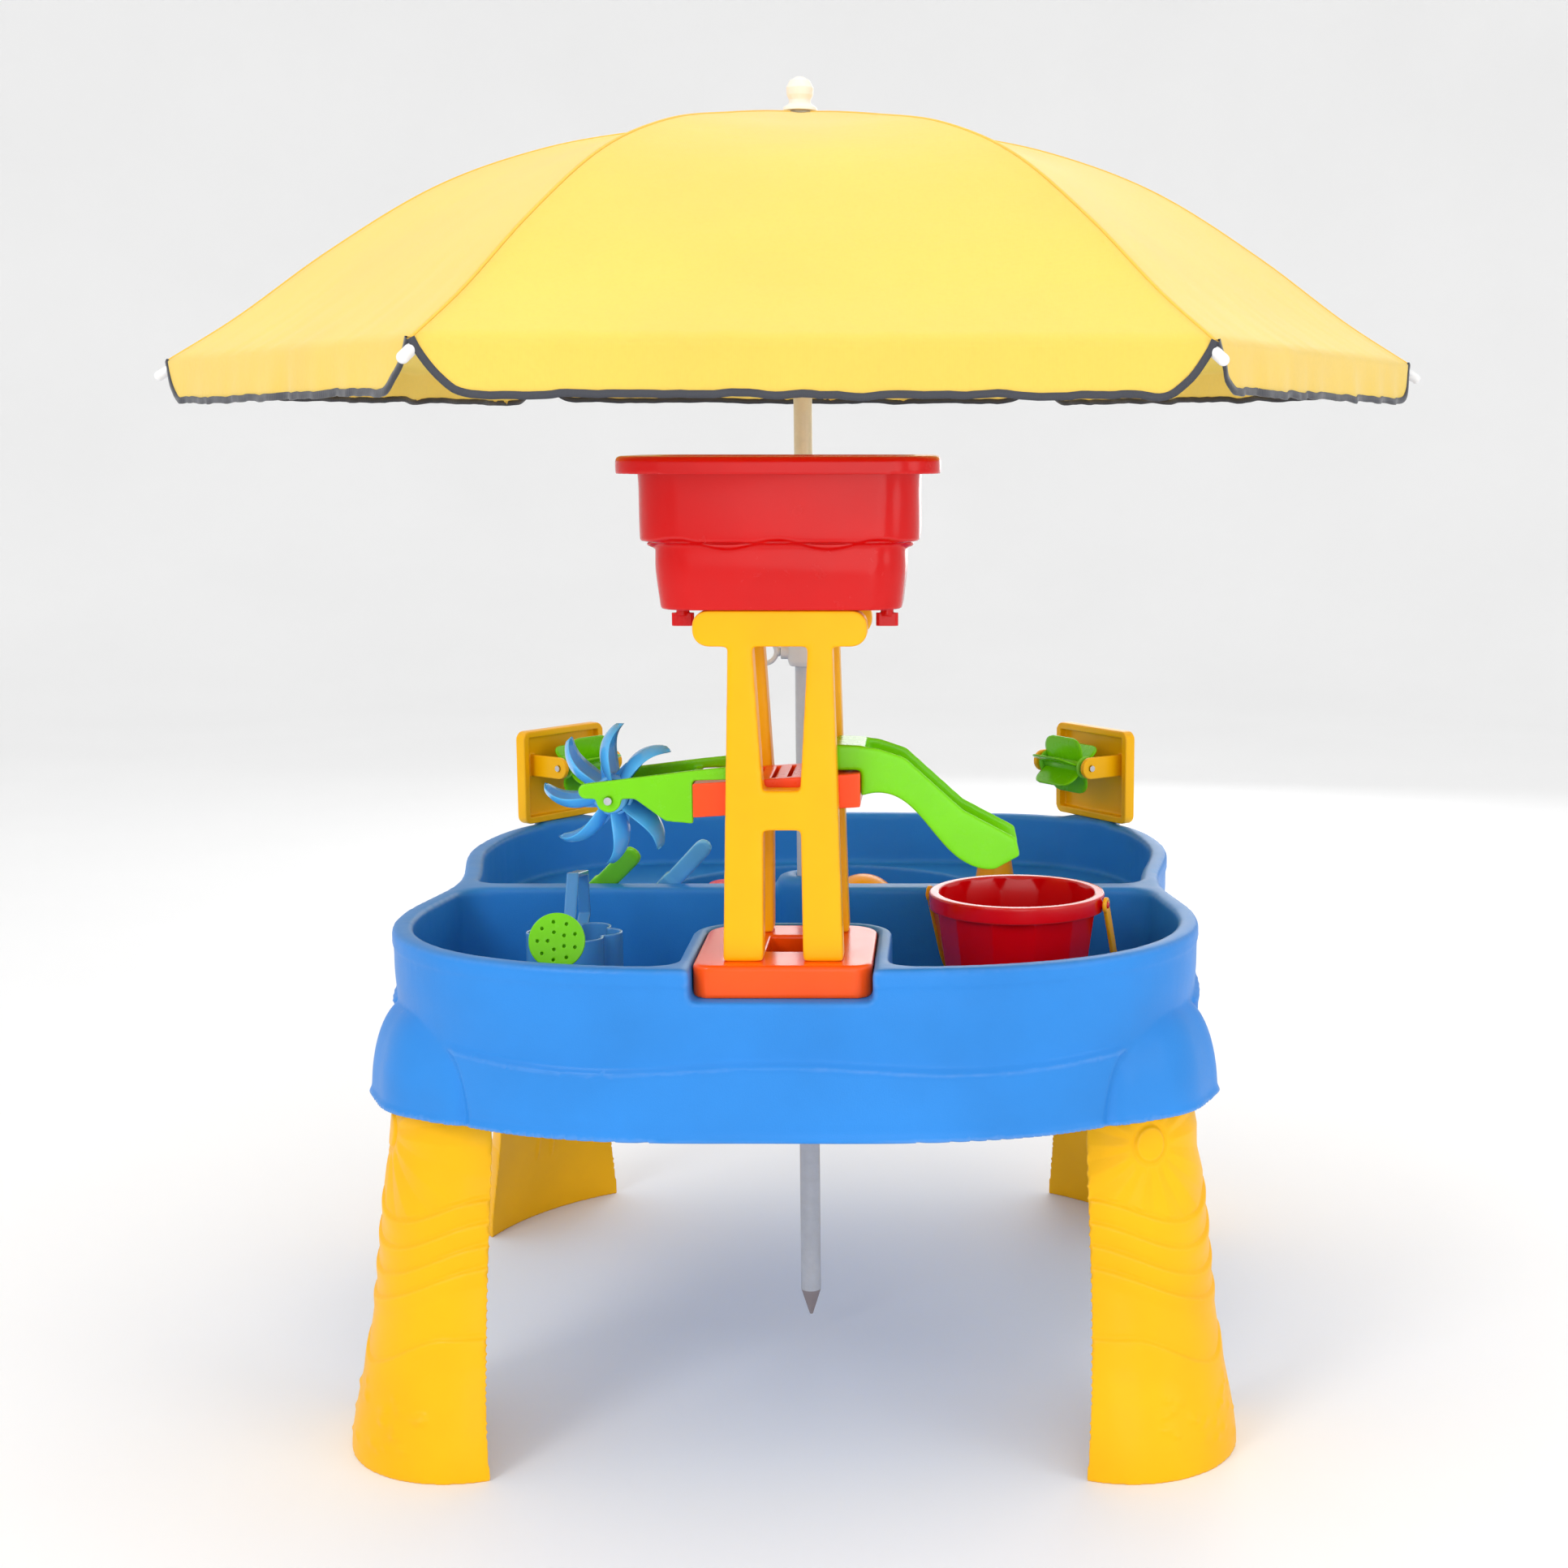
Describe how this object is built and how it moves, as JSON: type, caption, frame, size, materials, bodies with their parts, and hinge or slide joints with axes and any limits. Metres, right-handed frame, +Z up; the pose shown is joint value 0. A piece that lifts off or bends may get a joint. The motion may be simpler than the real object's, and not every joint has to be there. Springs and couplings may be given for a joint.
{
  "type": "sand and water table",
  "caption": "Two-compartment sand and water play table on curved legs, with a water tower, wheel, chute, back panels, an umbrella on a telescoping pole and loose sand toys.",
  "frame": {"origin": "on the floor, under the umbrella pole's axis", "axes": "+Z up, +X to the right seen from the tower's side, +Y from the tower towards the back panels"},
  "size_m": [1.0766, 0.9802, 1.106],
  "materials": {
    "blue_shell": "moulded satin blue",
    "yellow_leg": "moulded satin yellow",
    "screw_steel": "zinc",
    "orange_base": "glossy orange",
    "yellow_tower": "satin yellow",
    "orange_connector": "glossy orange",
    "green_chute": "satin green",
    "axle_steel": "drawn",
    "yellow_panel": "satin yellow",
    "pole_grey": "satin grey",
    "spike_grey": "grey",
    "clamp_white": "white",
    "blue_wheel": "satin blue",
    "green_wheel": "satin green",
    "red_basin": "glossy red",
    "red_plug": "glossy red",
    "pole_ivory": "satin ivory",
    "hub_white": "white",
    "finial_cream": "cream",
    "canopy_fabric": "plain woven pale yellow",
    "rib_steel": "light grey",
    "tip_white": "white",
    "red_bucket": "glossy red",
    "yellow_bail": "satin yellow",
    "can_blue": "translucent blue",
    "can_green": "satin green",
    "green_tool": "satin green",
    "blue_tool": "satin light blue",
    "mould_orange": "satin orange",
    "mould_yellow": "satin yellow"
  },
  "bodies": {
    "table": {"tray": "blue_shell", "leg_front_left": "yellow_leg", "leg_front_right": "yellow_leg", "leg_back_left": "yellow_leg", "leg_back_right": "yellow_leg", "leg_screws": "screw_steel", "tower_base": "orange_base", "tower_front_frame": "yellow_tower", "tower_back_frame": "yellow_tower", "connector": "orange_connector", "wheel_cradle": "green_chute", "slide_chute": "green_chute", "wheel_axle": "axle_steel", "small_axle_left": "axle_steel", "small_axle_right": "axle_steel", "panel_left": "yellow_panel", "panel_right": "yellow_panel", "lower_pole": "pole_grey", "ground_spike": "spike_grey", "clamp_collar": "clamp_white"},
    "water_wheel": {"water_wheel": "blue_wheel"},
    "small_wheel_left": {"small_wheel_left": "green_wheel"},
    "small_wheel_right": {"small_wheel_right": "green_wheel"},
    "basin": {"basin": "red_basin"},
    "drain_plug_left": {"drain_plug_left": "red_plug"},
    "drain_plug_right": {"drain_plug_right": "red_plug"},
    "upper_pole": {"upper_pole": "pole_ivory"},
    "clamp_screw": {"clamp_screw": "clamp_white"},
    "umbrella_head": {"crown": "hub_white", "finial": "finial_cream", "canopy": "canopy_fabric"},
    "runner": {"runner": "hub_white"},
    "rib_1": {"rib_1": "rib_steel", "rib_tip_1": "tip_white"},
    "strut_1": {"strut_1": "rib_steel"},
    "rib_2": {"rib_2": "rib_steel", "rib_tip_2": "tip_white"},
    "strut_2": {"strut_2": "rib_steel"},
    "rib_3": {"rib_3": "rib_steel", "rib_tip_3": "tip_white"},
    "strut_3": {"strut_3": "rib_steel"},
    "rib_4": {"rib_4": "rib_steel", "rib_tip_4": "tip_white"},
    "strut_4": {"strut_4": "rib_steel"},
    "rib_5": {"rib_5": "rib_steel", "rib_tip_5": "tip_white"},
    "strut_5": {"strut_5": "rib_steel"},
    "rib_6": {"rib_6": "rib_steel", "rib_tip_6": "tip_white"},
    "strut_6": {"strut_6": "rib_steel"},
    "bucket": {"bucket": "red_bucket"},
    "bucket_handle": {"bucket_handle": "yellow_bail"},
    "watering_can": {"watering_can": "can_blue", "can_rose": "can_green"},
    "shovel": {"shovel": "green_tool"},
    "rake": {"rake": "blue_tool"},
    "mould_orange": {"mould_orange": "mould_orange"},
    "mould_dome": {"mould_dome": "mould_yellow"},
    "mould_small": {"mould_small": "mould_yellow"}
  },
  "joints": [
    {"name": "water_wheel_spin", "type": "hinge", "parent": "table", "child": "water_wheel", "pos_m": [-0.133, -0.237, 0.534], "axis": [0, 1, 0], "continuous": true},
    {"name": "small_wheel_left_spin", "type": "hinge", "parent": "table", "child": "small_wheel_left", "pos_m": [-0.24541, 0.32945, 0.476], "axis": [0.5934, 0.8049, 0], "continuous": true},
    {"name": "small_wheel_right_spin", "type": "hinge", "parent": "table", "child": "small_wheel_right", "pos_m": [0.24541, 0.32945, 0.476], "axis": [0.5934, -0.8049, 0], "continuous": true},
    {"name": "basin_lift", "type": "slide", "parent": "table", "child": "basin", "axis": [0, 0, 1], "range_m": [0, 0.03]},
    {"name": "drain_plug_left_turn", "type": "hinge", "parent": "basin", "child": "drain_plug_left", "pos_m": [-0.078, -0.238, 0.68], "axis": [0, 0, 1], "range_deg": [0, 90]},
    {"name": "drain_plug_right_turn", "type": "hinge", "parent": "basin", "child": "drain_plug_right", "pos_m": [0.078, -0.238, 0.68], "axis": [0, 0, 1], "range_deg": [0, 90]},
    {"name": "umbrella_height", "type": "slide", "parent": "table", "child": "upper_pole", "axis": [0, 0, 1], "range_m": [-0.04, 0.1]},
    {"name": "clamp_screw_turn", "type": "hinge", "parent": "table", "child": "clamp_screw", "pos_m": [-0.025, 0, 0.622], "axis": [1, 0, 0], "range_deg": [0, 360]},
    {"name": "umbrella_turn", "type": "hinge", "parent": "upper_pole", "child": "umbrella_head", "pos_m": [0, 0, 1.058], "axis": [0, 0, 1], "continuous": true},
    {"name": "runner_slide", "type": "slide", "parent": "umbrella_head", "child": "runner", "axis": [0, 0, -1], "range_m": [0, 0.1247], "deforming": ["canopy"]},
    {"name": "rib_1_fold", "type": "hinge", "parent": "umbrella_head", "child": "rib_1", "pos_m": [0.01992, 0.00174, 1.058], "axis": [-0.0872, 0.9962, 0], "range_deg": [0, 20.05]},
    {"name": "strut_1_fold", "type": "hinge", "parent": "runner", "child": "strut_1", "pos_m": [0.01992, 0.00174, 0.93], "axis": [0.0872, -0.9962, 0], "range_deg": [0, 12.35]},
    {"name": "rib_2_fold", "type": "hinge", "parent": "umbrella_head", "child": "rib_2", "pos_m": [0.00845, 0.01813, 1.058], "axis": [-0.9063, 0.4226, 0], "range_deg": [0, 20.05]},
    {"name": "strut_2_fold", "type": "hinge", "parent": "runner", "child": "strut_2", "pos_m": [0.00845, 0.01813, 0.93], "axis": [0.9063, -0.4226, 0], "range_deg": [0, 12.35]},
    {"name": "rib_3_fold", "type": "hinge", "parent": "umbrella_head", "child": "rib_3", "pos_m": [-0.01147, 0.01638, 1.058], "axis": [-0.8192, -0.5736, 0], "range_deg": [0, 20.05]},
    {"name": "strut_3_fold", "type": "hinge", "parent": "runner", "child": "strut_3", "pos_m": [-0.01147, 0.01638, 0.93], "axis": [0.8192, 0.5736, 0], "range_deg": [0, 12.35]},
    {"name": "rib_4_fold", "type": "hinge", "parent": "umbrella_head", "child": "rib_4", "pos_m": [-0.01992, -0.00174, 1.058], "axis": [0.0872, -0.9962, 0], "range_deg": [0, 20.05]},
    {"name": "strut_4_fold", "type": "hinge", "parent": "runner", "child": "strut_4", "pos_m": [-0.01992, -0.00174, 0.93], "axis": [-0.0872, 0.9962, 0], "range_deg": [0, 12.35]},
    {"name": "rib_5_fold", "type": "hinge", "parent": "umbrella_head", "child": "rib_5", "pos_m": [-0.00845, -0.01813, 1.058], "axis": [0.9063, -0.4226, 0], "range_deg": [0, 20.05]},
    {"name": "strut_5_fold", "type": "hinge", "parent": "runner", "child": "strut_5", "pos_m": [-0.00845, -0.01813, 0.93], "axis": [-0.9063, 0.4226, 0], "range_deg": [0, 12.35]},
    {"name": "rib_6_fold", "type": "hinge", "parent": "umbrella_head", "child": "rib_6", "pos_m": [0.01147, -0.01638, 1.058], "axis": [0.8192, 0.5736, 0], "range_deg": [0, 20.05]},
    {"name": "strut_6_fold", "type": "hinge", "parent": "runner", "child": "strut_6", "pos_m": [0.01147, -0.01638, 0.93], "axis": [-0.8192, -0.5736, 0], "range_deg": [0, 12.35]},
    {"name": "bucket_lift", "type": "slide", "parent": "table", "child": "bucket", "axis": [0, 0, 1], "range_m": [0, 0.04]},
    {"name": "bucket_handle_swing", "type": "hinge", "parent": "bucket", "child": "bucket_handle", "pos_m": [0.1814, -0.128, 0.4285], "axis": [0.9455, -0.3256, 0], "range_deg": [0, 20]},
    {"name": "watering_can_lift", "type": "slide", "parent": "table", "child": "watering_can", "axis": [0, 0, 1], "range_m": [0, 0.025]},
    {"name": "shovel_lift", "type": "slide", "parent": "table", "child": "shovel", "axis": [0, 0, 1], "range_m": [0, 0.03]},
    {"name": "rake_lift", "type": "slide", "parent": "table", "child": "rake", "axis": [0, 0, 1], "range_m": [0, 0.03]},
    {"name": "mould_orange_lift", "type": "slide", "parent": "table", "child": "mould_orange", "axis": [0, 0, 1], "range_m": [0, 0.03]},
    {"name": "mould_dome_lift", "type": "slide", "parent": "table", "child": "mould_dome", "axis": [0, 0, 1], "range_m": [0, 0.03]},
    {"name": "mould_small_lift", "type": "slide", "parent": "table", "child": "mould_small", "axis": [0, 0, 1], "range_m": [0, 0.03]}
  ],
  "couplings": [
    {"joint": "rib_1_fold", "follows": "runner_slide", "rad_per_m": 2.7992},
    {"joint": "strut_1_fold", "follows": "runner_slide", "rad_per_m": 1.7215},
    {"joint": "rib_2_fold", "follows": "runner_slide", "rad_per_m": 2.7992},
    {"joint": "strut_2_fold", "follows": "runner_slide", "rad_per_m": 1.7215},
    {"joint": "rib_3_fold", "follows": "runner_slide", "rad_per_m": 2.7992},
    {"joint": "strut_3_fold", "follows": "runner_slide", "rad_per_m": 1.7215},
    {"joint": "rib_4_fold", "follows": "runner_slide", "rad_per_m": 2.7992},
    {"joint": "strut_4_fold", "follows": "runner_slide", "rad_per_m": 1.7215},
    {"joint": "rib_5_fold", "follows": "runner_slide", "rad_per_m": 2.7992},
    {"joint": "strut_5_fold", "follows": "runner_slide", "rad_per_m": 1.7215},
    {"joint": "rib_6_fold", "follows": "runner_slide", "rad_per_m": 2.7992},
    {"joint": "strut_6_fold", "follows": "runner_slide", "rad_per_m": 1.7215}
  ]
}
